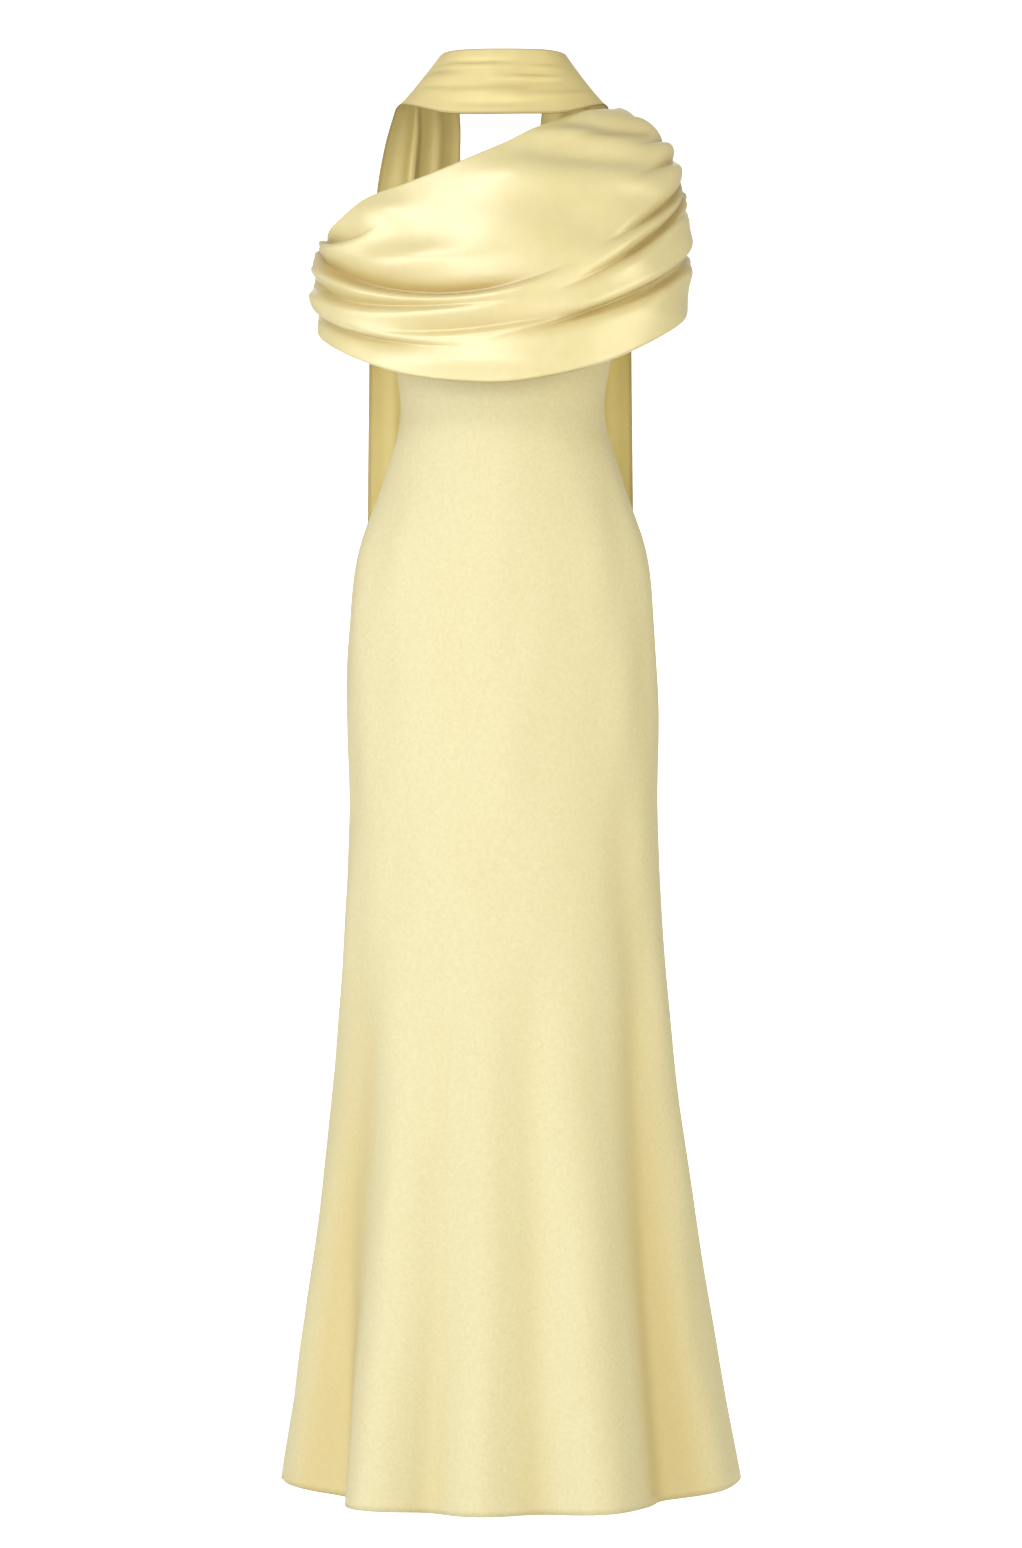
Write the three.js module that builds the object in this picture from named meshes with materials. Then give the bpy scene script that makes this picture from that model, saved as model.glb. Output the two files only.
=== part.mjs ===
// A floor-length satin gown with a gathered off-the-shoulder drape and a scarf wound once round the neck.
// Millimetres, +Z up, +X to the wearer's left, -Y to the front. Heights are counted from the hem, and the
// outermost group lowers the whole gown so that the origin is the centre of the neck's base.
import * as THREE from "three";

// Driving dimensions.
const NECK_HEIGHT = 1536; // from the hem to the base of the neck
const BODICE_TOP = 1404; // the strapless edge at the centre front, under the drape
const BODICE_DIP = 46; // how much lower that edge lies at the sides and the back
const SATIN = 2; // wall of the gown, a heavy satin
const DRAPE_CLOTH = 2.4; // wall of the drape, satin folded double
const SCARF_CLOTH = 2; // wall of the scarf
const SEAM = 0.3; // the parting between two panels at a seam

// How finely each wall is divided, across and down.
const GRID = {
  gown: { across: 24, down: 30 },
  drapeFront: { across: 34, down: 32 },
  drapeBack: { across: 24, down: 24 },
  scarfNeck: { across: 24, down: 8 },
  scarfTail: { across: 24, down: 12 },
};

const { abs, cos, exp, max, min, PI, sign, sin, sqrt } = Math;
const radians = (degrees) => (degrees * PI) / 180;
const clamp = (value, low, high) => min(max(value, low), high);
const bell = (x) => exp(-x * x);
const ease = (from, to, x) => {
  const share = clamp((x - from) / (to - from), 0, 1);
  return share * share * (3 - 2 * share);
};

// A column of a table read between its rows, as a smooth curve through them. Rows run upwards in `key`.
function read(table, key, at, column) {
  const last = table.length - 1;
  const x = clamp(at, table[0][key], table[last][key]);
  let row = 0;
  while (row < last - 1 && table[row + 1][key] < x) row += 1;
  const slope = (i) => {
    const a = table[max(i - 1, 0)];
    const b = table[min(i + 1, last)];
    return (b[column] - a[column]) / (b[key] - a[key]);
  };
  const [a, b] = [table[row], table[row + 1]];
  const span = b[key] - a[key];
  const s = (x - a[key]) / span;
  return (
    a[column] * (1 + 2 * s) * (1 - s) ** 2 +
    slope(row) * span * s * (1 - s) ** 2 +
    b[column] * s * s * (3 - 2 * s) +
    slope(row + 1) * span * s * s * (s - 1)
  );
}

// A closed wall of cloth. `face(u, v)` is its outer face, u across it from 0 to 1, counter-clockwise seen
// from above, and v down it from 0 to 1. The inner face lies one thickness in. Where `seamNormal` is given,
// the wall's two ends are cut flat, square to it.
function clothWall(face, grid, thickness, seamNormal) {
  const { across, down } = grid;
  const step = 1e-3;
  const outer = [];
  const inner = [];
  for (let j = 0; j <= down; j += 1) {
    for (let i = 0; i <= across; i += 1) {
      const [u, v] = [i / across, j / down];
      const point = face(u, v);
      const along = face(min(u + step, 1), v).sub(face(max(u - step, 0), v));
      const fall = face(u, min(v + step, 1)).sub(face(u, max(v - step, 0)));
      const normal = fall.cross(along);
      if (seamNormal && (i === 0 || i === across)) normal.projectOnPlane(seamNormal);
      normal.normalize();
      outer.push(point);
      inner.push(point.clone().addScaledVector(normal, -thickness));
    }
  }
  const points = [...outer, ...inner];
  const triangles = [];
  const quad = (a, b, c, d) => triangles.push(a, b, c, a, c, d);
  const at = (i, j) => j * (across + 1) + i;
  const under = (i, j) => outer.length + at(i, j);
  for (let j = 0; j < down; j += 1) {
    for (let i = 0; i < across; i += 1) {
      quad(at(i, j), at(i, j + 1), at(i + 1, j + 1), at(i + 1, j));
      quad(under(i, j), under(i + 1, j), under(i + 1, j + 1), under(i, j + 1));
    }
    quad(at(0, j), under(0, j), under(0, j + 1), at(0, j + 1));
    quad(at(across, j), at(across, j + 1), under(across, j + 1), under(across, j));
  }
  for (let i = 0; i < across; i += 1) {
    quad(at(i, 0), at(i + 1, 0), under(i + 1, 0), under(i, 0));
    quad(at(i, down), under(i, down), under(i + 1, down), at(i + 1, down));
  }
  const geometry = new THREE.BufferGeometry().setFromPoints(points);
  geometry.setIndex(triangles);
  geometry.computeVertexNormals();
  return geometry;
}

// A point of an oval section, by azimuth in degrees: 0 at the front, 90 at the wearer's left.
// `out` moves it along the section's outward normal.
function ovalPoint(azimuth, height, half, out) {
  const [s, c] = [sin(radians(azimuth)), cos(radians(azimuth))];
  const width = s < 0 ? half.right : half.left;
  const depth = c > 0 ? half.front : half.back;
  const [nx, ny] = [s * depth, -c * width];
  const reach = out / sqrt(nx * nx + ny * ny);
  return new THREE.Vector3(width * s + nx * reach, -depth * c + ny * reach, height);
}

function girthAt(table, height) {
  const column = (name) => read(table, "height", height, name);
  return { right: column("right"), left: column("left"), front: column("front"), back: column("back") };
}

// Degrees from one azimuth to another, the short way round.
const turn = (azimuth, centre) => abs(((azimuth - centre + 540) % 360) - 180);

// Front and back panels start at one side seam and end at the other, each half a seam's parting from it.
const FRONT = -90;
const BACK = 90;
const ACROSS_SIDE_SEAM = new THREE.Vector3(0, 1, 0);
const sidePanel = (geometry, start) => geometry.translate(0, (SEAM / 2) * sign(start), 0);

// ---------------------------------------------------------------- The gown: a front and a back panel.
// Half girths of the figure and skirt: to the wearer's right and left, and from the middle to front and back.
const GOWN_GIRTH = [
  { height: 0, right: 246, left: 256, front: 188, back: 194 },
  { height: 145, right: 226, left: 233, front: 170, back: 179 },
  { height: 313, right: 204, left: 209, front: 150, back: 161 },
  { height: 481, right: 187, left: 191, front: 132, back: 147 },
  { height: 649, right: 176, left: 177.5, front: 119, back: 135 },
  { height: 761, right: 172, left: 172.5, front: 113, back: 130 },
  { height: 873, right: 174, left: 173.5, front: 111, back: 130 },
  { height: 957, right: 172, left: 169.5, front: 110, back: 128 },
  { height: 1041, right: 161, left: 160, front: 105, back: 116 },
  { height: 1120, right: 133, left: 134, front: 96, back: 97 },
  { height: 1189, right: 115, left: 114, front: 88, back: 82 },
  { height: 1245, right: 120, left: 119, front: 94, back: 86 },
  { height: 1300, right: 133, left: 133, front: 116, back: 95 },
  { height: 1345, right: 141, left: 141, front: 130, back: 100 },
  { height: 1404, right: 138, left: 138, front: 133.8, back: 98 },
];

// The skirt's flutes and the hollows between them, at the hem: how far out each stands, how wide it is in
// degrees, and the height at which it has died away.
const FLUTES = [
  { azimuth: -104, out: 5, spread: 15, dies: 560 },
  { azimuth: -62, out: -54, spread: 15, dies: 680 },
  { azimuth: -36, out: 24, spread: 10, dies: 680 },
  { azimuth: -20, out: -16, spread: 7, dies: 620 },
  { azimuth: -6, out: 16, spread: 9, dies: 720 },
  { azimuth: 9, out: -15, spread: 7, dies: 700 },
  { azimuth: 24, out: 24, spread: 10, dies: 800 },
  { azimuth: 53, out: -42, spread: 12, dies: 860 },
  { azimuth: 94, out: 11, spread: 14, dies: 560 },
  { azimuth: 121, out: -26, spread: 12, dies: 680 },
  { azimuth: 143, out: 16, spread: 11, dies: 640 },
  { azimuth: 162, out: -13, spread: 9, dies: 560 },
  { azimuth: 181, out: 17, spread: 11, dies: 700 },
  { azimuth: 203, out: -16, spread: 10, dies: 620 },
  { azimuth: 226, out: 14, spread: 11, dies: 600 },
];
const FLUTE_GROWTH = 1.35; // how late a flute opens on its way down

// The bust cups of the bodice, shaped by darts.
const CUPS = { azimuth: 33, spread: 21, height: 1335, reach: 46, out: 7 };

function gownFace(azimuth, height) {
  let out = 0;
  for (const flute of FLUTES) {
    const grown = clamp((flute.dies - height) / flute.dies, 0, 1) ** FLUTE_GROWTH;
    out += flute.out * grown * bell(turn(azimuth, flute.azimuth) / flute.spread);
  }
  for (const side of [-1, 1]) {
    const near = bell(turn(azimuth, side * CUPS.azimuth) / CUPS.spread);
    out += CUPS.out * near * bell((height - CUPS.height) / CUPS.reach);
  }
  return ovalPoint(azimuth, height, girthAt(GOWN_GIRTH, height), out);
}

// The bodice's edge: highest at the centre front, level from the sides round the back.
const bodiceEdge = (azimuth) => BODICE_TOP - BODICE_DIP * ease(20, 80, turn(azimuth, 0));

function gownPanel(fromAzimuth) {
  const face = (u, v) => {
    const azimuth = fromAzimuth + 180 * u;
    return gownFace(azimuth, bodiceEdge(azimuth) * (1 - v));
  };
  return sidePanel(clothWall(face, GRID.gown, SATIN, ACROSS_SIDE_SEAM), fromAzimuth);
}

// ---------------------------------------------------------------- The drape: a gathered front and back.
// Half girths over the bust and both upper arms. The wearer's left closes in over the shoulder.
const DRAPE_GIRTH = [
  { height: 1208, right: 208, left: 210, front: 139, back: 120 },
  { height: 1282, right: 210, left: 210, front: 148, back: 124 },
  { height: 1330, right: 211, left: 211, front: 150, back: 127 },
  { height: 1380, right: 211, left: 210, front: 144, back: 126 },
  { height: 1420, right: 208, left: 206, front: 131, back: 119 },
  { height: 1460, right: 204, left: 200, front: 116, back: 105 },
  { height: 1490, right: 199, left: 190, front: 99, back: 88 },
  { height: 1510, right: 191, left: 176, front: 83, back: 70 },
  { height: 1525, right: 180, left: 154, front: 66, back: 52 },
  { height: 1533, right: 172, left: 138, front: 52, back: 38 },
  { height: 1538, right: 166, left: 123, front: 42, back: 26 },
];

// The drape's upper and lower edges round the body, from the gathered seam at the wearer's right arm.
const DRAPE_EDGES = [
  { azimuth: -90, top: 1388, bottom: 1287 },
  { azimuth: -75, top: 1386, bottom: 1272 },
  { azimuth: -60, top: 1399, bottom: 1255 },
  { azimuth: -45, top: 1420, bottom: 1238 },
  { azimuth: -30, top: 1436, bottom: 1223 },
  { azimuth: -15, top: 1455, bottom: 1215 },
  { azimuth: 0, top: 1479, bottom: 1213 },
  { azimuth: 15, top: 1505, bottom: 1221 },
  { azimuth: 30, top: 1522, bottom: 1235 },
  { azimuth: 45, top: 1529, bottom: 1254 },
  { azimuth: 60, top: 1532.5, bottom: 1275 },
  { azimuth: 75, top: 1535, bottom: 1297 },
  { azimuth: 90, top: 1536, bottom: 1319 },
  { azimuth: 120, top: 1529, bottom: 1312 },
  { azimuth: 150, top: 1497, bottom: 1303 },
  { azimuth: 180, top: 1458, bottom: 1299 },
  { azimuth: 210, top: 1424, bottom: 1296 },
  { azimuth: 240, top: 1398, bottom: 1292 },
  { azimuth: 270, top: 1388, bottom: 1287 },
];
const SHOULDER_CROWDING = 0.6; // draws the rows together where the drape rounds over the shoulder

// The drape's folds, ridges out and valleys in. Each runs from one azimuth to another at four evenly spaced
// heights, and dies away within FOLD_FADE degrees of an end that stops short of a seam.
const DRAPE_FOLDS = [
  { from: -84, to: -38, start: 1387, early: 1379, late: 1371, end: 1377, out: -3.5, spread: 6 },
  { from: -90, to: -32, start: 1384, early: 1374, late: 1366, end: 1381, out: 4, spread: 6 },
  { from: -90, to: 16, start: 1380, early: 1332, late: 1311, end: 1348, out: -5, spread: 6 },
  { from: -90, to: 12, start: 1371, early: 1323, late: 1303, end: 1333, out: 4.5, spread: 7 },
  { from: -90, to: 0, start: 1352, early: 1312, late: 1297, end: 1303, out: -4, spread: 7 },
  { from: -90, to: 10, start: 1340, early: 1297, late: 1285, end: 1298, out: 3, spread: 8 },
  { from: -40, to: 36, start: 1279, early: 1270, late: 1281, end: 1299, out: -3, spread: 7 },
  { from: -90, to: 80, start: 1332, early: 1267, late: 1282, end: 1398, out: 4, spread: 7 },
  { from: -90, to: -14, start: 1319, early: 1284, late: 1261, end: 1253, out: -4, spread: 6 },
  { from: 0, to: 90, start: 1262, early: 1290, late: 1337, end: 1388, out: -5, spread: 6 },
  { from: 28, to: 90, start: 1266, early: 1298, late: 1330, end: 1365, out: 4, spread: 8 },
  { from: 26, to: 90, start: 1317, early: 1355, late: 1403, end: 1445, out: -4.5, spread: 6 },
  { from: 34, to: 90, start: 1357, early: 1393, late: 1427, end: 1462, out: -4, spread: 6 },
  { from: 38, to: 90, start: 1420, early: 1446, late: 1468, end: 1480, out: -3, spread: 8 },
  { from: 5, to: 80, start: 1439, early: 1476, late: 1481, end: 1478, out: 3, spread: 11 },
  { from: 4, to: 90, start: 1455, early: 1496, late: 1506, end: 1496, out: -3, spread: 10 },
  { from: 90, to: 176, start: 1486, early: 1462, late: 1428, end: 1412, out: -4, spread: 8 },
  { from: 90, to: 190, start: 1470, early: 1440, late: 1405, end: 1390, out: 3.5, spread: 9 },
  { from: 90, to: 204, start: 1452, early: 1412, late: 1378, end: 1366, out: -4.5, spread: 8 },
  { from: 90, to: 230, start: 1424, early: 1380, late: 1350, end: 1348, out: 4, spread: 9 },
  { from: 90, to: 270, start: 1396, early: 1344, late: 1330, end: 1352, out: -4.5, spread: 8 },
  { from: 90, to: 200, start: 1362, early: 1338, late: 1320, end: 1314, out: 4, spread: 8 },
  { from: 206, to: 270, start: 1392, early: 1384, late: 1374, end: 1376, out: -3.5, spread: 7 },
  { from: 196, to: 270, start: 1376, early: 1368, late: 1360, end: 1365, out: 4, spread: 7 },
  { from: 186, to: 270, start: 1318, early: 1316, late: 1317, end: 1322, out: -4, spread: 7 },
];
const FOLD_FADE = 18;

// The pleats drawn up in the two side seams, one row of them at each arm, shallow and dying away at once.
const SEAM_PLEATS = [
  { azimuth: -90, height: 1376, out: -3, spread: 5 },
  { azimuth: -90, height: 1358, out: -3, spread: 4 },
  { azimuth: -90, height: 1341, out: 2.5, spread: 4 },
  { azimuth: -90, height: 1327, out: -3, spread: 4 },
  { azimuth: 90, height: 1523, out: -2, spread: 4 },
  { azimuth: 90, height: 1499, out: -3, spread: 5 },
  { azimuth: 90, height: 1472, out: 2.5, spread: 5 },
  { azimuth: 90, height: 1430, out: -3, spread: 5 },
  { azimuth: 90, height: 1408, out: 2.5, spread: 5 },
  { azimuth: 90, height: 1377, out: -3, spread: 4 },
];
const PLEAT_REACH = 11; // degrees
const SEAM_DRAW = 0.5; // the share of a fold's depth that each side seam flattens

function drapeHeight(azimuth, v) {
  const top = read(DRAPE_EDGES, "azimuth", azimuth, "top");
  const bottom = read(DRAPE_EDGES, "azimuth", azimuth, "bottom");
  const crowding = 1 + SHOULDER_CROWDING * ease(120, 0, turn(azimuth, 90));
  return top - (top - bottom) * v ** crowding;
}

// The curve through four evenly spaced heights.
function through(fold, share) {
  const t = share * 3;
  return (
    (fold.start * (t - 1) * (t - 2) * (t - 3)) / -6 +
    (fold.early * t * (t - 2) * (t - 3)) / 2 +
    (fold.late * t * (t - 1) * (t - 3)) / -2 +
    (fold.end * t * (t - 1) * (t - 2)) / 6
  );
}

function foldsOut(azimuth, height) {
  let out = 0;
  for (const fold of DRAPE_FOLDS) {
    const span = fold.to - fold.from;
    const share = (azimuth - fold.from) / span;
    if (share < 0 || share > 1) continue;
    const sewnStart = fold.from % 180 === -90 || fold.from % 180 === 90;
    const sewnEnd = fold.to % 180 === 90;
    const fadeIn = sewnStart ? 1 : ease(0, FOLD_FADE, azimuth - fold.from);
    const fadeOut = sewnEnd ? 1 : ease(0, FOLD_FADE, fold.to - azimuth);
    const off = height - through(fold, share);
    out += fold.out * fadeIn * fadeOut * bell(off / fold.spread);
  }
  for (const pleat of SEAM_PLEATS) {
    const near = bell(turn(azimuth, pleat.azimuth) / PLEAT_REACH);
    out += pleat.out * near * bell((height - pleat.height) / pleat.spread);
  }
  return out * (1 - SEAM_DRAW * bell(turn(azimuth * 2, 180) / 24));
}

function drapeFace(azimuth, v) {
  const height = drapeHeight(azimuth, v);
  return ovalPoint(azimuth, height, girthAt(DRAPE_GIRTH, height), foldsOut(azimuth, height));
}

function drapePanel(fromAzimuth, grid) {
  const face = (u, v) => drapeFace(fromAzimuth + 180 * u, v);
  return sidePanel(clothWall(face, grid, DRAPE_CLOTH, ACROSS_SIDE_SEAM), fromAzimuth);
}

// ---------------------------------------------------------------- The scarf: one strip in three stretches.
// Its inner and outer edges, from the centre of the throat over one shoulder and down the back, and how far
// it sinks between them where it turns over the shoulder.
const SCARF_PATH = [
  { along: 0, innerX: 0, innerY: -72, innerZ: 1588, outerX: 0, outerY: -100, outerZ: 1511, hollow: -2 },
  { along: 20, innerX: 17, innerY: -71, innerZ: 1588.1, outerX: 22, outerY: -99, outerZ: 1511.3, hollow: -2 },
  { along: 60, innerX: 49, innerY: -53, innerZ: 1590.5, outerX: 63, outerY: -84, outerZ: 1515, hollow: -1 },
  { along: 110, innerX: 69, innerY: -16, innerZ: 1593, outerX: 100, outerY: -42, outerZ: 1530.8, hollow: 3 },
  { along: 150, innerX: 71, innerY: 12, innerZ: 1590.5, outerX: 117, outerY: 6, outerZ: 1540.5, hollow: 5 },
  { along: 190, innerX: 60, innerY: 44, innerZ: 1574, outerX: 124, outerY: 40, outerZ: 1531, hollow: 4 },
  { along: 240, innerX: 47, innerY: 76, innerZ: 1545, outerX: 133, outerY: 70, outerZ: 1503, hollow: 2 },
  { along: 300, innerX: 46, innerY: 104, innerZ: 1493, outerX: 142, outerY: 96, outerZ: 1458, hollow: 0 },
  { along: 380, innerX: 45, innerY: 128.4, innerZ: 1415, outerX: 148, outerY: 112.4, outerZ: 1390, hollow: 0 },
  { along: 460, innerX: 44, innerY: 139, innerZ: 1338, outerX: 151, outerY: 119, outerZ: 1320, hollow: 0 },
  { along: 560, innerX: 44, innerY: 142, innerZ: 1240, outerX: 152, outerY: 120, outerZ: 1228, hollow: 0 },
  { along: 760, innerX: 43, innerY: 141, innerZ: 1040, outerX: 154, outerY: 118, outerZ: 1034, hollow: 0 },
  { along: 980, innerX: 41, innerY: 141, innerZ: 820, outerX: 157, outerY: 118, outerZ: 816, hollow: 0 },
  { along: 1240, innerX: 38, innerY: 148, innerZ: 560, outerX: 163, outerY: 126, outerZ: 560, hollow: 0 },
];
const SCARF_TURN = 150; // where the strip turns over the shoulder and its front stretch ends
const SCARF_END = 1240;
const SCARF_PARTING = 0.9; // along the path, which keeps every part of that seam a seam's parting open
const TAIL_SHIFT = -3; // both tails hang a little towards the wearer's right

// The strip's long pleats on the tails: where across it, from inner to outer edge, and how deep.
const TAIL_PLEATS = [
  { across: 0.16, out: 4, spread: 0.09 },
  { across: 0.36, out: -5, spread: 0.08 },
  { across: 0.56, out: 6, spread: 0.1 },
  { across: 0.68, out: -4, spread: 0.06 },
  { across: 0.86, out: 3, spread: 0.1 },
];

function scarfFace(along, v) {
  const side = along < 0 ? -1 : 1;
  const far = abs(along);
  const edge = (name) => read(SCARF_PATH, "along", far, name);
  const inner = new THREE.Vector3(edge("innerX"), edge("innerY"), edge("innerZ"));
  const outer = new THREE.Vector3(edge("outerX"), edge("outerY"), edge("outerZ"));
  const point = inner.lerp(outer, v);
  const onTail = ease(SCARF_TURN - 40, SCARF_TURN + 120, far);
  let out = 0;
  for (const pleat of TAIL_PLEATS) out += pleat.out * bell((v - pleat.across) / pleat.spread);
  point.y += out * onTail;
  point.z -= 4 * v * (1 - v) * edge("hollow");
  point.x = point.x * side + TAIL_SHIFT * onTail;
  return point;
}

const scarfStretch = (from, to, grid) =>
  clothWall((u, v) => scarfFace(from + (to - from) * u, v), grid, SCARF_CLOTH);

// ---------------------------------------------------------------- Cloth and assembly.
const dullSatin = new THREE.MeshStandardMaterial({ color: "#efe5b3", roughness: 0.55, metalness: 0 });
const brightSatin = new THREE.MeshStandardMaterial({ color: "#f2e8b8", roughness: 0.38, metalness: 0 });

function piece(name, geometry, material) {
  const mesh = new THREE.Mesh(geometry, material);
  mesh.name = name;
  return mesh;
}

const worn = new THREE.Group();
worn.position.z = -NECK_HEIGHT;
worn.add(
  piece("gown_front", gownPanel(FRONT), dullSatin),
  piece("gown_back", gownPanel(BACK), dullSatin),
  piece("drape_front", drapePanel(FRONT, GRID.drapeFront), brightSatin),
  piece("drape_back", drapePanel(BACK, GRID.drapeBack), brightSatin),
  piece("scarf_neck", scarfStretch(-SCARF_TURN, SCARF_TURN, GRID.scarfNeck), brightSatin),
  piece("scarf_tail_left", scarfStretch(SCARF_TURN + SCARF_PARTING, SCARF_END, GRID.scarfTail), brightSatin),
  piece("scarf_tail_right", scarfStretch(-SCARF_END, -SCARF_TURN - SCARF_PARTING, GRID.scarfTail), brightSatin),
);

const gown = new THREE.Group();
gown.add(worn);

export default gown;
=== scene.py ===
import math

import bpy
import numpy as np
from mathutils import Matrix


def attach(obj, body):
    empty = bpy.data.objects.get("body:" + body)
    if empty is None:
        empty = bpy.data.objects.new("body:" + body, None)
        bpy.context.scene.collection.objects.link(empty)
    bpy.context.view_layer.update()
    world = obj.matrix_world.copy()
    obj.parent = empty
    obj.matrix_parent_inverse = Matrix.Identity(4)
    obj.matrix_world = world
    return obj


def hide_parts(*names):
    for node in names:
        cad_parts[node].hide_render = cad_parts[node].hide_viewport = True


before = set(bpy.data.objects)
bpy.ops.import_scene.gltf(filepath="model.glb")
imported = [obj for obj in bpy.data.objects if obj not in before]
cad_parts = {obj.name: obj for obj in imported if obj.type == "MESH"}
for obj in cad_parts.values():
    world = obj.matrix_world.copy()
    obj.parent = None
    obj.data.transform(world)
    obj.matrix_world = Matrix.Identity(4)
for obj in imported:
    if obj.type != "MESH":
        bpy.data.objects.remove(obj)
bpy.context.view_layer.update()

scene = bpy.context.scene


# ------------------------------------------------------------------ The camera
# A camera level with the middle of the gown, square to the front, far enough away that the skirt's depth
# barely shows. The gown hangs a little left of the frame's middle.
NECK = 1536.0  # height of the frame's origin, the base of the neck, above the hem, in mm
CAMERA_HEIGHT = 790.5  # above the hem, in mm
CAMERA_AWAY = 3800.0  # in front of the side seams, in mm
FILM = 36.0  # in mm
FRAME_HEIGHT = 1548  # in pixels
PIXEL = 1.12  # what a pixel takes in at the side seams, in mm
ASIDE = 8  # how far the gown hangs from the frame's middle, in pixels

camera = bpy.data.objects.new("camera", bpy.data.cameras.new("camera"))
camera.location = (0, -CAMERA_AWAY / 1000, (CAMERA_HEIGHT - NECK) / 1000)
camera.rotation_euler = (math.pi / 2, 0, 0)
camera.data.lens = FILM * CAMERA_AWAY / (FRAME_HEIGHT * PIXEL)
camera.data.shift_x = ASIDE / FRAME_HEIGHT
camera.data.clip_end = 60
scene.collection.objects.link(camera)
scene.camera = camera


# ------------------------------------------------------------------ The gown
# A bias-cut slip gown: one front and one back panel of crepe satin, cut in one from a strapless edge to
# the hem, joined down both sides with pressed-open seams, and turned up in a narrow blind hem. It fits
# from bust to hip and falls from there in soft flutes.
def rows(names, *values):
    """A table with named columns."""
    return [dict(zip(names.split(), v)) for v in values]


def curve(at, table, key, name):
    """The named column of a table, read at key = at as a smooth curve through its rows."""
    x = np.array([row[key] for row in table], float)
    y = np.array([row[name] for row in table], float)
    slope = np.zeros_like(y)
    slope[1:-1] = (y[2:] - y[:-2]) / (x[2:] - x[:-2])
    slope[0] = (y[1] - y[0]) / (x[1] - x[0])
    slope[-1] = (y[-1] - y[-2]) / (x[-1] - x[-2])
    at = np.clip(at, x[0], x[-1])
    i = np.clip(np.searchsorted(x, at, side="right") - 1, 0, len(x) - 2)
    span = x[i + 1] - x[i]
    s = (at - x[i]) / span
    return (
        y[i] * (1 + 2 * s) * (1 - s) ** 2
        + slope[i] * span * s * (1 - s) ** 2
        + y[i + 1] * s * s * (3 - 2 * s)
        + slope[i + 1] * span * s * s * (s - 1)
    )


def turn(azimuth, centre):
    """Degrees between two azimuths, the short way round."""
    return np.abs((azimuth - centre + 540) % 360 - 180)


def bell(x):
    """A smooth bump, 1 high at x = 0 and almost gone at 2."""
    return np.exp(-x * x)


def ease(a, b, x):
    """0 at a, 1 at b, a smooth passage between them, and level on either side."""
    s = np.clip((x - a) / (b - a), 0, 1)
    return s * s * (3 - 2 * s)


def swell(azimuth, height, place):
    """How far one row of a table of swells pushes the cloth out."""
    across = bell(turn(azimuth, place["azimuth"]) / place["wide"])
    return place["out"] * across * bell((height - place["height"]) / place["tall"])


def oval(azimuth, height, girths):
    """Points on an oval body. Azimuth is 0 at the front, 90 at the wearer's left, 180 at the back."""
    s = np.sin(np.radians(azimuth))
    c = np.cos(np.radians(azimuth))
    half = {side: curve(height, girths, "height", side) for side in ("right", "left", "front", "back")}
    x = np.where(s < 0, half["right"], half["left"]) * s
    y = -np.where(c > 0, half["front"], half["back"]) * c
    return np.stack([x, y, height], -1)


def normals(points, closed):
    """Outward normals of a grid of points that runs down (first axis) and across (second axis)."""
    down = np.gradient(points, axis=0)
    if closed:
        across = (np.roll(points, -1, 1) - np.roll(points, 1, 1)) / 2
    else:
        across = np.gradient(points, axis=1)
    n = np.cross(down, across)
    return n / (np.linalg.norm(n, axis=-1, keepdims=True) + 1e-9)


def ripple(a, b, seed, wave):
    """A slow, irregular unevenness, mostly between -1 and 1, over two directions measured in mm. It is the
    sum of 14 waves, each 0.6 to 1.8 times as long as wave and running its own way."""
    count = 14
    rng = np.random.default_rng(seed)
    total = 0
    for _ in range(count):
        k = 2 * np.pi / (wave * rng.uniform(0.6, 1.8))
        way = rng.uniform(0, 2 * np.pi)
        total = total + np.sin(k * (a * np.cos(way) + b * np.sin(way)) + rng.uniform(0, 6.3))
    return total / np.sqrt(count)


def cloth(name, points, hollow, closed, thickness, material):
    """A sheet of cloth on a grid of points in mm above the hem, with its thickness inwards. hollow is
    painted
    shade: it says how far the colour is painted towards the shade of a crease, 0 on open cloth and 1 at the
    most."""
    down, across = points.shape[:2]
    flat = points.reshape(-1, 3) - np.array([0, 0, NECK])
    strips = across if closed else across - 1
    j, i = np.meshgrid(np.arange(down - 1), np.arange(strips), indexing="ij")
    beside = (i + 1) % across
    corners = (j * across + i, (j + 1) * across + i, (j + 1) * across + beside, j * across + beside)
    faces = np.stack(corners, -1)
    mesh = bpy.data.meshes.new(name)
    mesh.from_pydata((flat / 1000).tolist(), [], faces.reshape(-1, 4).tolist())
    mesh.shade_smooth()
    mesh.materials.append(material)
    # The painted crease shade, one value a point, for the material to read.
    depth = mesh.attributes.new("hollow", "FLOAT", "POINT")
    depth.data.foreach_set("value", np.clip(hollow, 0, 1).ravel())
    piece = bpy.data.objects.new(name, mesh)
    scene.collection.objects.link(piece)
    wall = piece.modifiers.new("thickness", "SOLIDIFY")
    wall.thickness = thickness / 1000
    wall.offset = -1
    wall.use_even_offset = False
    return piece


def linear(colour):
    """A hex sRGB colour as linear light."""
    c = [int(colour[i : i + 2], 16) / 255 for i in (1, 3, 5)]
    return tuple(v / 12.92 if v <= 0.04045 else ((v + 0.055) / 1.055) ** 2.4 for v in c) + (1,)


def node(tree, kind, links=None, **settings):
    """Adds a node with its settings, and links its inputs to other nodes' outputs."""
    n = tree.nodes.new(kind)
    for key, value in settings.items():
        if hasattr(n, key):
            setattr(n, key, value)
        else:
            n.inputs[key.replace("_", " ")].default_value = value
    for key, source in (links or {}).items():
        tree.links.new(source, n.inputs[key])
    return n


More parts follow.
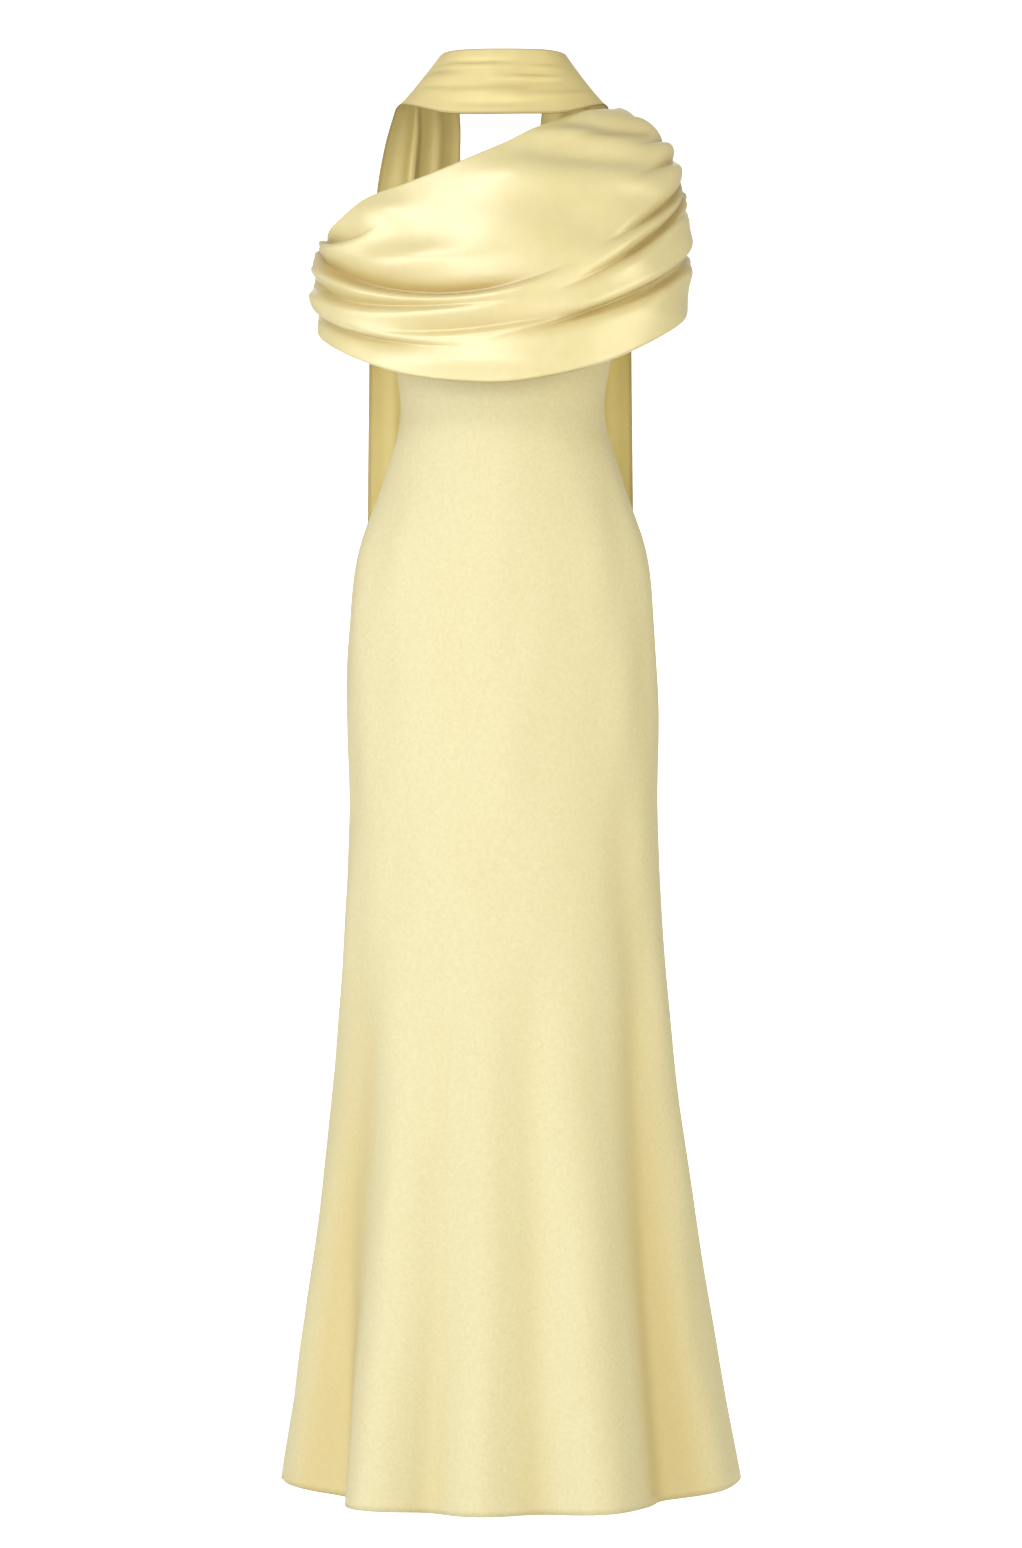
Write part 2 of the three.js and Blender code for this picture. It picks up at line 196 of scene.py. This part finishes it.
FIBRE_IOR = 1.6  # silk and polyester
MIX_LOW, MIX_HIGH, MIX_RESULT = 6, 7, 2  # the colour sockets of a mix node


def satin(
    name, low, high, crease_shade_colour, roughness, level, coat, coat_roughness, through, slub, grain, grain_depth
):
    """Satin: a silky, spread gloss over a colour that wanders between low and high along the slubs. Down in
    the creases the colour is painted towards a crease shade, which stands in for the dimmer light there as
    it goes from cloth to cloth, and the share through of the light comes through the cloth. slub, grain and
    grain_depth are sizes in mm."""
    material = bpy.data.materials.new(name)
    material.use_nodes = True
    tree = material.node_tree
    gloss = tree.nodes["Principled BSDF"]
    gloss.inputs["Roughness"].default_value = roughness
    gloss.inputs["IOR"].default_value = FIBRE_IOR
    gloss.inputs["Specular IOR Level"].default_value = level
    gloss.inputs["Coat Weight"].default_value = coat
    gloss.inputs["Coat Roughness"].default_value = coat_roughness
    gloss.inputs["Sheen Weight"].default_value = 0.01
    gloss.inputs["Sheen Roughness"].default_value = 0.4
    gloss.inputs["Sheen Tint"].default_value = linear("#FFF6DC")
    place = {"Vector": node(tree, "ShaderNodeTexCoord").outputs["Object"]}
    slubs = node(tree, "ShaderNodeTexNoise", place, Scale=1000 / slub, Detail=5.0, Roughness=0.7)
    shade = node(tree, "ShaderNodeMix", {"Factor": slubs.outputs["Fac"]}, data_type="RGBA")
    shade.inputs[MIX_LOW].default_value = linear(low)
    shade.inputs[MIX_HIGH].default_value = linear(high)
    # Painted shade: the colour is mixed towards the crease shade as far as the hollow attribute says.
    crease = node(tree, "ShaderNodeAttribute", attribute_name="hollow")
    shades = {"Factor": crease.outputs["Fac"], MIX_LOW: shade.outputs[MIX_RESULT]}
    shaded_colour = node(tree, "ShaderNodeMix", shades, data_type="RGBA")
    shaded_colour.inputs[MIX_HIGH].default_value = linear(crease_shade_colour)
    tree.links.new(shaded_colour.outputs[MIX_RESULT], gloss.inputs["Base Color"])
    grains = node(tree, "ShaderNodeTexNoise", place, Scale=1000 / grain, Detail=3.0, Roughness=0.6)
    relief = {"Height": grains.outputs["Fac"]}
    bump = node(tree, "ShaderNodeBump", relief, Strength=0.25, Distance=grain_depth / 1000)
    tree.links.new(bump.outputs["Normal"], gloss.inputs["Normal"])
    glow = node(tree, "ShaderNodeBsdfTranslucent", {"Color": shaded_colour.outputs[MIX_RESULT]})
    blend = node(tree, "ShaderNodeMixShader", {1: gloss.outputs[0], 2: glow.outputs[0]}, Fac=through)
    tree.links.new(blend.outputs[0], tree.nodes["Material Output"].inputs["Surface"])
    return material


# Half widths and half depths of the body, in mm, at heights above the hem.
GOWN_GIRTH = rows(
    "height right left front back",
    (0, 246, 256, 188, 194),
    (145, 226, 233, 170, 179),
    (313, 204, 209, 150, 161),
    (481, 187, 191, 132, 147),
    (649, 176, 177.5, 119, 135),
    (761, 172, 172.5, 113, 130),
    (873, 174, 173.5, 111, 130),
    (957, 172, 169.5, 110, 128),
    (1041, 161, 160, 105, 116),
    (1120, 133, 134, 96, 97),
    (1189, 115, 114, 88, 82),
    (1245, 120, 119, 94, 86),
    (1300, 133, 133, 116, 95),
    (1345, 141, 141, 130, 100),
    (1404, 138, 138, 133.8, 98),
)
# How far each flute stands out or in at the hem, how many degrees it spreads, and where it dies away.
FLUTES = rows(
    "azimuth out spread dies",
    (-104, 5, 15, 560),
    (-62, -54, 15, 680),
    (-36, 24, 10, 680),
    (-20, -16, 7, 620),
    (-6, 16, 9, 720),
    (9, -15, 7, 700),
    (24, 24, 10, 800),
    (53, -42, 12, 860),
    (94, 11, 14, 560),
    (121, -26, 12, 680),
    (143, 16, 11, 640),
    (162, -13, 9, 560),
    (181, 17, 11, 700),
    (203, -16, 10, 620),
    (226, 14, 11, 600),
)
FLARE = 1.35  # how a flute opens towards the hem: 1 would be in a straight line
CUPS = rows(
    "azimuth height out wide tall",
    (-33, 1335, 7, 21, 46),
    (33, 1335, 7, 21, 46),
)
BODICE_FRONT = 1404.0  # height of the strapless edge in front, in mm
BODICE_BACK = 1358.0  # and from the sides to the back
GOWN_ROWS = 190
COLUMN = 1.5  # degrees between columns of points
SEAM_COLUMNS = np.array([-1, -0.45, -0.2, 0, 0.2, 0.45, 1])  # finer ones where a side seam runs
SEAM_SINKS, SEAM_SPREAD = 0.5, 0.28  # in mm and degrees
TURNING_OUT, TURNING_FROM_SEAM, TURNING_SPREAD = 0.35, 0.8, 0.5  # the faint ridge of the seam's turnings
SKIRT_DEGREE = 3.2  # mm round the skirt in a degree
GOWN_UNEVEN = 1.1  # how much the hanging cloth wavers, in mm
DEEP_FLUTE = 42.0  # a flute sunk this far, in mm, would get all the painted crease shade; none gets over half
GOWN_THICKNESS = 1.2

azimuths = np.arange(0, 360, COLUMN)
for seam in (90, 270):
    azimuths = np.concatenate([azimuths[np.abs(azimuths - seam) > 1], seam + SEAM_COLUMNS])
azimuths = np.sort(azimuths) - 90
azimuth, share = np.meshgrid(azimuths, np.linspace(0, 1, GOWN_ROWS))
edge = BODICE_FRONT - (BODICE_FRONT - BODICE_BACK) * ease(20, 80, turn(azimuth, 0))
height = edge * (1 - share)
gown_points = oval(azimuth, height, GOWN_GIRTH)
out = 0 * azimuth
for flute in FLUTES:
    opens = np.clip((flute["dies"] - height) / flute["dies"], 0, 1) ** FLARE
    out += flute["out"] * opens * bell(turn(azimuth, flute["azimuth"]) / flute["spread"])
for cup in CUPS:
    out += swell(azimuth, height, cup)
for seam in (-90, 90):
    from_seam = turn(azimuth, seam)
    out -= SEAM_SINKS * bell(from_seam / SEAM_SPREAD)
    out += TURNING_OUT * bell((from_seam - TURNING_FROM_SEAM) / TURNING_SPREAD)
around = azimuth * SKIRT_DEGREE
waver = ripple(around * 1.5, height * 0.45, seed=3, wave=110)  # drawn out up and down
out += GOWN_UNEVEN * waver * ease(1250, 1000, height)
gown_points += normals(gown_points, True) * out[..., None]

# The dull side of the crepe satin: the eye sees a soft, broad gloss with a fine grain. The real grain is
# 0.4 mm, too fine to show, so it is drawn at about 2.4 mm.
crepe_satin = satin(
    "crepe satin",
    low="#D2C68F",
    high="#E9E1B8",
    # painted shade in the flutes' hollows
    crease_shade_colour="#D2B868",
    roughness=0.6,
    level=0.5,
    coat=0.15,
    coat_roughness=0.6,
    through=0.1,
    slub=4.167,
    grain=2.381,
    grain_depth=0.6,
)

# Painted shade: the colour darkens in the flutes, the more the further they sink in.
gown_painted_shade = np.clip(-out / DEEP_FLUTE, 0, 0.5)
gown = cloth("gown", gown_points, gown_painted_shade, True, GOWN_THICKNESS, crepe_satin)
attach(gown, "root")
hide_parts("gown_front", "gown_back")


# ------------------------------------------------------------------ The drape
# A broad band of bright satin, cut on the bias and folded double so that both its edges are soft folds.
# It goes round the bust, under the wearer's right shoulder and over the left one, and is drawn up in
# small gathers where its front and back are sewn together at the arms.
DRAPE_GIRTH = rows(
    "height right left front back",
    (1208, 208, 210, 139, 120),
    (1282, 210, 210, 148, 124),
    (1330, 211, 211, 150, 127),
    (1380, 211, 210, 144, 126),
    (1420, 208, 206, 131, 119),
    (1460, 204, 200, 116, 105),
    (1490, 199, 190, 99, 88),
    (1510, 191, 176, 83, 70),
    (1525, 180, 154, 66, 52),
    (1533, 172, 138, 52, 38),
    (1538, 166, 123, 42, 26),
)
DRAPE_EDGES = rows(
    "azimuth top bottom",
    (-90, 1388, 1287),
    (-75, 1386, 1272),
    (-60, 1399, 1255),
    (-45, 1420, 1238),
    (-30, 1436, 1223),
    (-15, 1455, 1215),
    (0, 1479, 1213),
    (15, 1505, 1221),
    (30, 1522, 1235),
    (45, 1529, 1254),
    (60, 1532.5, 1275),
    (75, 1535, 1297),
    (90, 1536, 1319),
    (120, 1529, 1312),
    (150, 1497, 1303),
    (180, 1458, 1299),
    (210, 1424, 1296),
    (240, 1398, 1292),
    (270, 1388, 1287),
)
# Tucks: lines where the cloth is pulled in, from one azimuth to another through four heights, evenly
# spaced along the way. It dips by "dip" at the line, over a slope "over" mm long above it and "under" mm
# long below it, and swells by "above" at "above_w" mm over the line and by "below" at "below_w" mm under it.
TUCKS = rows(
    "first last start early late end dip over under above above_w below below_w",
    (-90, -36, 1384, 1379, 1377, 1392, 8.0, 9, 3.0, 2.0, 22, 5.0, 6.0),
    (-90, 24, 1378, 1330, 1310, 1352, 10.0, 15, 3.0, 0.0, 20, 8.0, 8.0),
    (-90, 8, 1350, 1310, 1296, 1305, 5.5, 9, 4.0, 0.0, 9, 6.5, 9.0),
    (-50, 42, 1281, 1269, 1281, 1302, 4.5, 10, 5.0, 0.0, 9, 3.0, 9.0),
    (-90, -8, 1319, 1283, 1260, 1251, 7.0, 3, 8.0, 3.5, 7, 0.0, 12.0),
    (-6, 90, 1256, 1290, 1337, 1391, 9.0, 3, 8.0, 5.0, 9, 1.0, 12.0),
    (30, 90, 1290, 1318, 1347, 1374, 6.5, 7, 4.0, 2.0, 9, 3.0, 7.0),
    (12, 90, 1306, 1350, 1402, 1447, 9.0, 8, 5.0, 3.0, 16, 4.0, 9.0),
    (24, 90, 1350, 1391, 1427, 1461, 8.0, 8, 4.0, 2.0, 14, 5.0, 9.0),
    (56, 90, 1388, 1402, 1414, 1425, 7.0, 5, 4.0, 1.5, 9, 3.0, 7.0),
    (40, 90, 1434, 1458, 1471, 1480, 6.5, 7, 4.0, 2.0, 12, 3.0, 9.0),
    (44, 90, 1480, 1491, 1498, 1502, 5.5, 7, 4.0, 1.5, 12, 2.5, 9.0),
    (10, 88, 1466, 1496, 1508, 1512, 5.0, 8, 14, 0.0, 9, 0.0, 9.0),
    (56, 90, 1519, 1524, 1526, 1527, 3.0, 4, 3.0, 1.0, 7, 1.5, 6.0),
    (-90, -62, 1368, 1357, 1347, 1338, 6.0, 5, 3.0, 1.0, 7, 3.0, 6.0),
    (-90, -54, 1337, 1328, 1318, 1308, 6.0, 5, 3.0, 1.0, 7, 3.0, 6.0),
    (-90, -64, 1303, 1296, 1289, 1283, 4.0, 4, 4.0, 1.0, 7, 1.5, 7.0),
    (90, 176, 1480, 1462, 1428, 1412, 7.0, 9, 4.0, 2.0, 14, 4.0, 9.0),
    (90, 204, 1447, 1412, 1378, 1366, 8.0, 10, 4.0, 2.0, 14, 5.0, 9.0),
    (90, 140, 1502, 1494, 1484, 1474, 5.5, 7, 4.0, 1.0, 10, 2.5, 8.0),
    (90, 270, 1391, 1344, 1330, 1352, 9.0, 10, 4.0, 2.0, 14, 5.0, 9.0),
    (90, 136, 1425, 1410, 1396, 1384, 6.0, 6, 4.0, 1.0, 9, 2.5, 8.0),
    (90, 196, 1374, 1352, 1334, 1318, 6.0, 8, 4.0, 1.0, 9, 3.0, 9.0),
    (206, 270, 1396, 1388, 1378, 1380, 6.0, 8, 4.0, 1.0, 9, 3.5, 8.0),
    (226, 270, 1354, 1358, 1363, 1368, 5.0, 5, 4.0, 1.0, 9, 2.5, 7.0),
    (186, 270, 1318, 1316, 1317, 1319, 7.0, 4, 8.0, 4.0, 9, 1.0, 10.0),
)
TUCK_FADES = 34.0  # degrees over which a tuck that ends away from a seam dies out
ROUNDED = 0.25  # how round the bottom of a tuck is, as a share of its slope
BULGE = 1.3  # how sharply the cloth beside a tuck rises and falls
DEEP_TUCK = 9.0  # a tuck that dips this much, in mm, gets the full painted crease shade
# Swells: broad places where the cloth balloons out between the tucks, or lies hollow.
SWELLS = rows(
    "azimuth height out wide tall",
    (-40, 1400, 7.0, 11, 22),
    (-64, 1362, 4.0, 14, 12),
    (-24, 1388, -2.0, 11, 22),
    (-30, 1346, 7.0, 20, 17),
    (-10, 1320, 3.0, 20, 14),
    (-4, 1237, 3.0, 44, 14),
    (8, 1440, 5.0, 15, 22),
    (30, 1466, -5.0, 20, 12),
    (30, 1490, 4.0, 20, 9),
    (46, 1508, -4.0, 26, 8),
    (44, 1440, 4.0, 14, 16),
    (26, 1386, -4.0, 11, 28),
    (40, 1352, 3.0, 11, 22),
    (58, 1290, 3.0, 24, 16),
    (76, 1345, 3.0, 12, 16),
    (140, 1450, 4.0, 22, 20),
    (186, 1340, 4.0, 24, 20),
    (228, 1404, 4.0, 16, 14),
)
FOLD_STRENGTH = 1.3  # tucks and swells together are this many times what their tables say
SEAM_CALMS = 0.6  # the share of them that is gone at the arm seams
SEAM_PINCH = 3.5  # how far the arm seams draw the cloth in, in mm
DRAPE_ROWS = 188
CROWDING = 0.6  # how much closer the rows lie at the top, where the left shoulder curves in
DRAPE_DEGREE = 3.0  # mm round the bust in a degree
DRAPE_UNEVEN = 0.5  # in mm
EDGE_ROLL = 3.0  # radius of the two soft folded edges, which roll inwards, in mm
CREASE_SHADE_SHARE = 0.75  # how much of the painted crease shade the tucks take
LOWER_SHADOW_LINE, LOWER_SHADOW_WIDTH = 0.6, 1.5  # painted shadow line at the lower folded edge, and its width in mm
UPPER_SHADE_LINE, UPPER_SHADE_WIDTH = 0.3, 1.2  # and a fainter painted shade line at the upper one
DRAPE_THICKNESS = 2.2


def at_arm_seam(azimuth):
    """Whether an azimuth is that of an arm seam: -90 or 270 on the right, and 90 on the left."""
    return azimuth % 180 == 90


def fold_relief(azimuth, height):
    """How far the tucks and swells stand out of the drape's smooth form, and how far down in a crease it
    lies, which sets its painted crease shade.
    """
    out = 0 * azimuth
    crease = 0 * azimuth
    for tuck in TUCKS:
        t = 3 * (azimuth - tuck["first"]) / (tuck["last"] - tuck["first"])
        fade = np.where((t >= 0) & (t <= 3), 1.0, 0.0)
        t = np.clip(t, 0, 3)
        line = (
            tuck["start"] * (t - 1) * (t - 2) * (t - 3) / -6
            + tuck["early"] * t * (t - 2) * (t - 3) / 2
            + tuck["late"] * t * (t - 1) * (t - 3) / -2
            + tuck["end"] * t * (t - 1) * (t - 2) / 6
        )
        if not at_arm_seam(tuck["first"]):
            fade = fade * ease(0, TUCK_FADES, azimuth - tuck["first"])
        if not at_arm_seam(tuck["last"]):
            fade = fade * ease(0, TUCK_FADES, tuck["last"] - azimuth)
        up = np.maximum(height - line, 0)
        down = np.maximum(line - height, 0)
        away = up / tuck["over"] + down / tuck["under"]
        shape = -tuck["dip"] * np.exp(ROUNDED - np.sqrt(away**2 + ROUNDED**2))
        for side, from_line in (("above", up), ("below", down)):
            reach = from_line / tuck[side + "_w"]
            shape += tuck[side] * reach**BULGE * np.exp(BULGE * (1 - reach))
        out += fade * shape
        crease = np.maximum(crease, fade * tuck["dip"] / DEEP_TUCK * np.exp(-(away**1.2)))
    for place in SWELLS:
        out += swell(azimuth, height, place)
    at_seams = bell(turn(2 * azimuth, 180) / 20)
    return FOLD_STRENGTH * out * (1 - SEAM_CALMS * at_seams) - SEAM_PINCH * at_seams, crease


azimuth, share = np.meshgrid(np.arange(-90, 270, COLUMN), np.linspace(0, 1, DRAPE_ROWS))
top = curve(azimuth, DRAPE_EDGES, "azimuth", "top")
bottom = curve(azimuth, DRAPE_EDGES, "azimuth", "bottom")
height = top - (top - bottom) * share ** (1 + CROWDING * ease(120, 0, turn(azimuth, 90)))
drape_points = oval(azimuth, height, DRAPE_GIRTH)
out, crease = fold_relief(azimuth, height)
out += DRAPE_UNEVEN * ripple(azimuth * DRAPE_DEGREE, height, seed=8, wave=90)
for from_edge in (height - bottom, top - height):
    t = np.clip(from_edge / EDGE_ROLL, 0, 1)
    out -= EDGE_ROLL * (1 - np.sqrt(1 - (1 - t) ** 2))
drape_points += normals(drape_points, True) * out[..., None]
# Painted shade: the colour darkens down in the tucks.
drape_painted_shade = CREASE_SHADE_SHARE * crease
# Painted shade: thin dark lines along the lower and upper folded edges.
drape_painted_shade = drape_painted_shade + LOWER_SHADOW_LINE * bell((height - bottom) / LOWER_SHADOW_WIDTH)
drape_painted_shade = drape_painted_shade + UPPER_SHADE_LINE * bell((top - height) / UPPER_SHADE_WIDTH)

# The bright side of the satin: the eye sees silky, creamy highlights that run along the folds. Its weave
# is far too fine to show, so its grain is drawn at 2 mm.
bright_satin = satin(
    "bright satin",
    low="#D9C98A",
    high="#E4D79D",
    # painted shade in the tucks and along the folded edges
    crease_shade_colour="#B3964A",
    roughness=0.36,
    level=1.0,
    coat=1.0,
    coat_roughness=0.45,
    through=0.04,
    slub=16.67,
    grain=2.0,
    grain_depth=0.3,
)

drape = cloth("drape", drape_points, drape_painted_shade, True, DRAPE_THICKNESS, bright_satin)
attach(drape, "root")
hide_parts("drape_front", "drape_back")


# ------------------------------------------------------------------ The scarf
# One long strip of the same satin, folded lengthwise, laid across the front of the throat, thrown back
# over both shoulders, and hanging in flat pleats down the back as far as the knees.
# The strip's inner and outer edges, and how far it sags between them, from the middle of the throat to the
# end of the left tail; the right one mirrors it. All in mm.
SCARF = rows(
    "along inner_x inner_y inner_z outer_x outer_y outer_z hollow",
    (0, 0, -72, 1588, 0, -100, 1511, -2),
    (20, 17, -71, 1588.1, 22, -99, 1511.3, -2),
    (60, 49, -53, 1590.5, 63, -84, 1515, -1),
    (110, 69, -16, 1593, 100, -42, 1530.8, 3),
    (150, 71, 12, 1590.5, 117, 6, 1540.5, 5),
    (190, 60, 44, 1574, 124, 40, 1531, 4),
    (240, 47, 76, 1545, 133, 70, 1503, 2),
    (300, 46, 104, 1493, 142, 96, 1458, 0),
    (380, 45, 128.4, 1415, 148, 112.4, 1390, 0),
    (460, 44, 139, 1338, 151, 119, 1320, 0),
    (560, 44, 142, 1240, 152, 120, 1228, 0),
    (760, 43, 141, 1040, 154, 118, 1034, 0),
    (980, 41, 141, 820, 157, 118, 816, 0),
    (1240, 38, 148, 560, 163, 126, 560, 0),
)
# Pleats down the tails: where across the strip, how far out or in, and how wide as a share of the strip.
PLEATS = rows(
    "across out spread",
    (0.1, 3, 0.09),
    (0.26, -4, 0.06),
    (0.4, 3, 0.09),
    (0.55, -9, 0.024),
    (0.63, 3, 0.06),
    (0.86, 3, 0.12),
)
# Creases across the throat: where along and across the strip, how far each sinks in, or stands out where
# it is below 0, how long and how wide.
CREASES = rows(
    "along across sinks length width",
    (-30, 0.2, 2.2, 34, 0.05),
    (-34, 0.27, -1.6, 40, 0.04),
    (38, 0.47, -2.6, 26, 0.03),
    (34, 0.53, 1.6, 34, 0.05),
    (52, 0.3, -1.4, 22, 0.04),
    (-20, 0.66, -1.2, 60, 0.06),
    (-4, 0.84, 2.4, 44, 0.06),
    (70, 0.72, -1.6, 40, 0.05),
    (-75, 0.6, 1.8, 34, 0.06),
    (-86, 0.42, -1.6, 30, 0.05),
)
TAIL = SCARF[-1]["along"]
SCARF_COLUMNS, SCARF_ROWS = 420, 56
LEAVES_SHOULDER, HANGS_FREE = 110, 270  # where along the strip the throat passes into the pleated tail
SIDEWAYS = 3.0  # the tails hang this far to the wearer's right, in mm
STRAY = 0.02  # how far the pleats wander across the strip
THROAT_WIDTH = 80.0  # of the strip, in mm
THROAT_UNEVEN = 0.4  # in mm
BOW = 3.0  # how far the strip's middle stands out over the collar bones, in mm
DEEP_PLEAT = 16.0  # a pleat that sinks this far, in mm, gets the full painted crease shade
HIGH_RIDGE = 6.0  # so does a ridge this high across the throat
OUTER_SHADE_LINE, INNER_SHADE_LINE, SHADE_LINE_WIDTH = 0.9, 0.5, 0.02  # painted shade lines along the strip's two edges
SCARF_SHADE_SHARE = 0.8  # how much of the painted crease shade the scarf takes
SCARF_THICKNESS = 1.6

along, across = np.meshgrid(np.linspace(-TAIL, TAIL, SCARF_COLUMNS), np.linspace(0, 1, SCARF_ROWS))
side = np.where(along < 0, -1, 1)
far = np.abs(along)
inner = np.stack([curve(far, SCARF, "along", f"inner_{k}") for k in "xyz"], -1)
outer = np.stack([curve(far, SCARF, "along", f"outer_{k}") for k in "xyz"], -1)
scarf_points = inner + (outer - inner) * across[..., None]
on_tail = ease(LEAVES_SHOULDER, HANGS_FREE, far)
relief = 0 * along
for pleat in PLEATS:
    wander = STRAY * np.sin(far / 170 + 9 * pleat["across"]) * ease(300, 700, far)
    spread = pleat["spread"] * (1 + 0.5 * ease(400, 1200, far))  # the pleats open towards the ends
    relief += pleat["out"] * bell((across - pleat["across"] - wander) / spread)
scarf_points[..., 1] += relief * on_tail
creased = 0 * along
for fold in CREASES:
    lengthwise = bell((along - fold["along"]) / fold["length"])
    creased += fold["sinks"] * lengthwise * bell((across - fold["across"]) / fold["width"])
creased += THROAT_UNEVEN * ripple(along, across * THROAT_WIDTH, seed=5, wave=60) * ease(150, 100, far)
bowed = BOW * np.sin(np.pi * across) * ease(30, 80, far) * ease(190, 140, far)
scarf_points[..., 2] -= 4 * across * (1 - across) * curve(far, SCARF, "along", "hollow")
scarf_points[..., 0] = scarf_points[..., 0] * side - SIDEWAYS * on_tail
scarf_points -= normals(scarf_points, False) * (creased - bowed)[..., None]
# Painted shade: the colour darkens in the pleats and along the creases across the throat.
crease = np.maximum(on_tail * -relief / DEEP_PLEAT, -creased / HIGH_RIDGE)
# Painted shade: a dark line along each edge of the strip, stronger along the outer one.
edge_shade_lines = OUTER_SHADE_LINE * bell((1 - across) / SHADE_LINE_WIDTH) + INNER_SHADE_LINE * bell(across / SHADE_LINE_WIDTH)
scarf_painted_shade = SCARF_SHADE_SHARE * np.maximum(crease, edge_shade_lines)

# The same satin in a looser layer: the eye sees a paler and duller cloth than the drape's, with light
# coming through it, and a painted golden brown shade along its edges and in its pleats.
soft_satin = satin(
    "soft satin",
    low="#EFE2A2",
    high="#F5EAB3",
    # painted shade in the pleats and creases and along the edges
    crease_shade_colour="#A5873C",
    roughness=0.55,
    level=0.5,
    coat=0.3,
    coat_roughness=0.5,
    through=0.4,
    slub=16.67,
    grain=2.0,
    grain_depth=0.3,
)

scarf = cloth("scarf", scarf_points, scarf_painted_shade, False, SCARF_THICKNESS, soft_satin)
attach(scarf, "root")
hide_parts("scarf_neck", "scarf_tail_left", "scarf_tail_right")


# ------------------------------------------------------------------ The studio
# A roll of white paper that sweeps up from the floor into the backdrop, and large soft lamps: a wide one
# at the front left, one behind the camera, a small high one that picks out the folds, and a warm low fill
# from the right. The paper glows a little behind the gown, as if a lamp of its own washed it.
FLOOR_DROP = 300.0  # how far the floor lies below the hem, in mm
PAPER_HALF, PAPER_FRONT, PAPER_TOP = 9.0, -9.0, 6.0  # in m, as are all the places that follow
SWEEP_BEGINS, SWEEP_RADIUS = 5.0, 2.0
# The wash grows from one distance to another behind the gown, and fades between two distances beside it.
WASHES = rows(
    "way begins ends first last",
    ("behind", 0.1, 1.0, 0.0, 0.85),
    ("beside", 1.7, 3.0, 1.0, 0.0),
)
LAMPS = rows(
    "name x y z width height glow colour",
    ("key", -2.9, -2.3, -0.4, 3.2, 3.0, 2.25, "#FFFFFF"),
    ("front", -0.6, -4.5, -0.35, 2.4, 2.4, 3.3, "#FFFFFF"),
    ("top", -1.0, -2.4, 1.7, 1.2, 1.0, 6.0, "#FFFFFF"),
    ("fill", 3.0, -1.8, -0.6, 2.2, 2.8, 2.4, "#FFF6D8"),
)
LAMPS_AIM = np.array([0, 0, -0.5])
SKY_GLOW = 0.4

floor_height = (-FLOOR_DROP - NECK) / 1000
profile = [(PAPER_FRONT, floor_height), (SWEEP_BEGINS, floor_height)]
for t in np.linspace(0.1, math.pi / 2, 14):
    rise = SWEEP_RADIUS * (1 - math.cos(t))
    profile.append((SWEEP_BEGINS + SWEEP_RADIUS * math.sin(t), floor_height + rise))
profile.append((SWEEP_BEGINS + SWEEP_RADIUS, PAPER_TOP))
corners = [(x, y, z) for y, z in profile for x in (-PAPER_HALF, PAPER_HALF)]
faces = [(2 * i, 2 * i + 1, 2 * i + 3, 2 * i + 2) for i in range(len(profile) - 1)]
mesh = bpy.data.meshes.new("studio_floor")
mesh.from_pydata(corners, [], faces)
mesh.shade_smooth()

# Matt paper: the eye sees a pale ground without a gloss. It has a painted glow, brightest behind the gown
# and fading to the sides, which stands in for a lamp washing the paper.
white_paper = bpy.data.materials.new("white paper roll")
white_paper.use_nodes = True
tree = white_paper.node_tree
matt = tree.nodes["Principled BSDF"]
matt.inputs["Base Color"].default_value = linear("#EDEDED")
matt.inputs["Roughness"].default_value = 0.9
matt.inputs["Emission Color"].default_value = (1, 1, 1, 1)
place = node(tree, "ShaderNodeTexCoord").outputs["Object"]
spot = node(tree, "ShaderNodeSeparateXYZ", {"Vector": place})
aside = node(tree, "ShaderNodeMath", {0: spot.outputs["X"]}, operation="ABSOLUTE")
distance = {"behind": spot.outputs["Y"], "beside": aside.outputs[0]}
shares = []
for wash in WASHES:
    fade = node(
        tree,
        "ShaderNodeMapRange",
        {"Value": distance[wash["way"]]},
        interpolation_type="SMOOTHSTEP",
        From_Min=wash["begins"],
        From_Max=wash["ends"],
        To_Min=wash["first"],
        To_Max=wash["last"],
    )
    shares.append(fade.outputs["Result"])
glow = node(tree, "ShaderNodeMath", {0: shares[0], 1: shares[1]}, operation="MULTIPLY")
tree.links.new(glow.outputs[0], matt.inputs["Emission Strength"])
mesh.materials.append(white_paper)
floor = bpy.data.objects.new("studio_floor", mesh)
scene.collection.objects.link(floor)

for lamp in LAMPS:
    light = bpy.data.lights.new(lamp["name"], "AREA")
    light.shape = "RECTANGLE"
    light.size = lamp["width"]
    light.size_y = lamp["height"]
    light.color = linear(lamp["colour"])[:3]
    light.energy = lamp["glow"] * math.pi * lamp["width"] * lamp["height"]
    holder = bpy.data.objects.new(lamp["name"], light)
    holder.location = (lamp["x"], lamp["y"], lamp["z"])
    aim = LAMPS_AIM - np.array(holder.location)
    tilt = math.atan2(math.hypot(aim[0], aim[1]), -aim[2])
    holder.rotation_euler = (tilt, 0, math.atan2(-aim[0], aim[1]))
    scene.collection.objects.link(holder)

world = bpy.data.worlds.new("studio")
world.use_nodes = True
sky = world.node_tree.nodes["Background"]
sky.inputs["Color"].default_value = (1, 1, 1, 1)
sky.inputs["Strength"].default_value = SKY_GLOW
scene.world = world
scene.view_settings.view_transform = "Standard"
